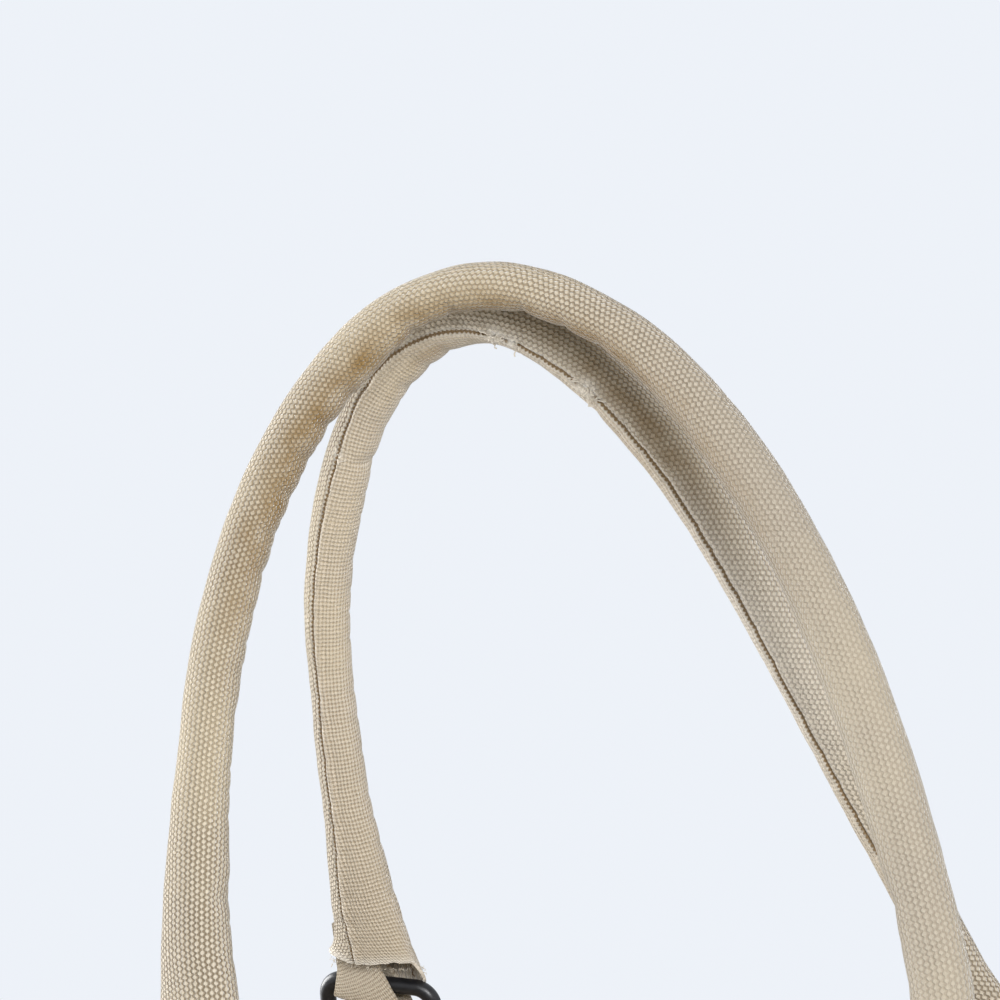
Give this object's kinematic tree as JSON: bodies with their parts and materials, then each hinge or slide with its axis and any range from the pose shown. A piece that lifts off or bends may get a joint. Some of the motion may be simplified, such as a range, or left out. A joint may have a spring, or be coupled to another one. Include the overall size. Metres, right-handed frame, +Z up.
{
  "type": "shoe bag",
  "caption": "Canvas shoe bag with a zipped top, a boarded base and two long rolled handles hung on oval black rings.",
  "frame": {"origin": "middle of the underside, on the surface that the bag stands on", "axes": "+X along the width to the right, +Y from the front to the rear, +Z up"},
  "size_m": [0.32, 0.1376, 0.4916],
  "materials": {
    "canvas": "washed hopsack canvas",
    "lining_cloth": "plain woven lining",
    "cord_core": "twisted cotton rope",
    "zip_tape": "fine twill tape",
    "zip_teeth": "black coil",
    "board": "smooth",
    "black_metal": "satin black coating"
  },
  "bodies": {
    "root": {"base_panel": "canvas", "front_panel": "canvas", "rear_panel": "canvas", "base_board": "board", "lining": "lining_cloth", "left_piping": "canvas", "left_gusset": "canvas", "left_eyelets": "black_metal", "left_top_end": "canvas", "left_zip_end": "zip_tape", "left_zip_stop": "zip_teeth", "right_piping": "canvas", "right_gusset": "canvas", "right_eyelets": "black_metal", "right_top_end": "canvas", "right_zip_end": "zip_tape", "right_zip_stop": "zip_teeth", "front_left_body_tab": "canvas", "front_right_body_tab": "canvas", "rear_left_body_tab": "canvas", "rear_right_body_tab": "canvas"},
    "front_rings": {"front_left_ring": "black_metal", "front_right_ring": "black_metal"},
    "front_handle": {"front_handle_cover": "canvas", "front_handle_core": "cord_core", "front_left_handle_tab": "canvas", "front_right_handle_tab": "canvas"},
    "front_flap": {"front_top_flap": "canvas", "front_zip_tape": "zip_tape", "front_zip_teeth": "zip_teeth"},
    "rear_rings": {"rear_left_ring": "black_metal", "rear_right_ring": "black_metal"},
    "rear_handle": {"rear_handle_cover": "canvas", "rear_handle_core": "cord_core", "rear_left_handle_tab": "canvas", "rear_right_handle_tab": "canvas"},
    "rear_flap": {"rear_top_flap": "canvas", "rear_zip_tape": "zip_tape", "rear_zip_teeth": "zip_teeth"},
    "zip_slider": {"zip_slider": "black_metal"},
    "zip_pull": {"zip_pull": "black_metal"}
  },
  "joints": [
    {"name": "front_ring_swing", "type": "hinge", "parent": "root", "child": "front_rings", "pos_m": [0, -0.0641, 0.2306], "axis": [1, 0, 0], "range_deg": [0, 100]},
    {"name": "front_handle_swing", "type": "hinge", "parent": "front_rings", "child": "front_handle", "pos_m": [0, -0.06065, 0.24602], "axis": [1, 0, 0], "range_deg": [0, 65]},
    {"name": "front_flap_open", "type": "hinge", "parent": "root", "child": "front_flap", "pos_m": [0, -0.0525, 0.224], "axis": [1, 0, 0], "range_deg": [0, 50]},
    {"name": "rear_ring_swing", "type": "hinge", "parent": "root", "child": "rear_rings", "pos_m": [0, 0.0641, 0.2306], "axis": [-1, 0, 0], "range_deg": [0, 100]},
    {"name": "rear_handle_swing", "type": "hinge", "parent": "rear_rings", "child": "rear_handle", "pos_m": [0, 0.06065, 0.24602], "axis": [-1, 0, 0], "range_deg": [0, 65]},
    {"name": "rear_flap_open", "type": "hinge", "parent": "root", "child": "rear_flap", "pos_m": [0, 0.0525, 0.224], "axis": [-1, 0, 0], "range_deg": [0, 50]},
    {"name": "zip_slide", "type": "slide", "parent": "root", "child": "zip_slider", "axis": [1, 0, 0], "range_m": [-0.256, 0]},
    {"name": "zip_pull_swing", "type": "hinge", "parent": "zip_slider", "child": "zip_pull", "pos_m": [0.129, 0, 0.2263], "axis": [0, -1, 0], "range_deg": [0, 170]}
  ]
}
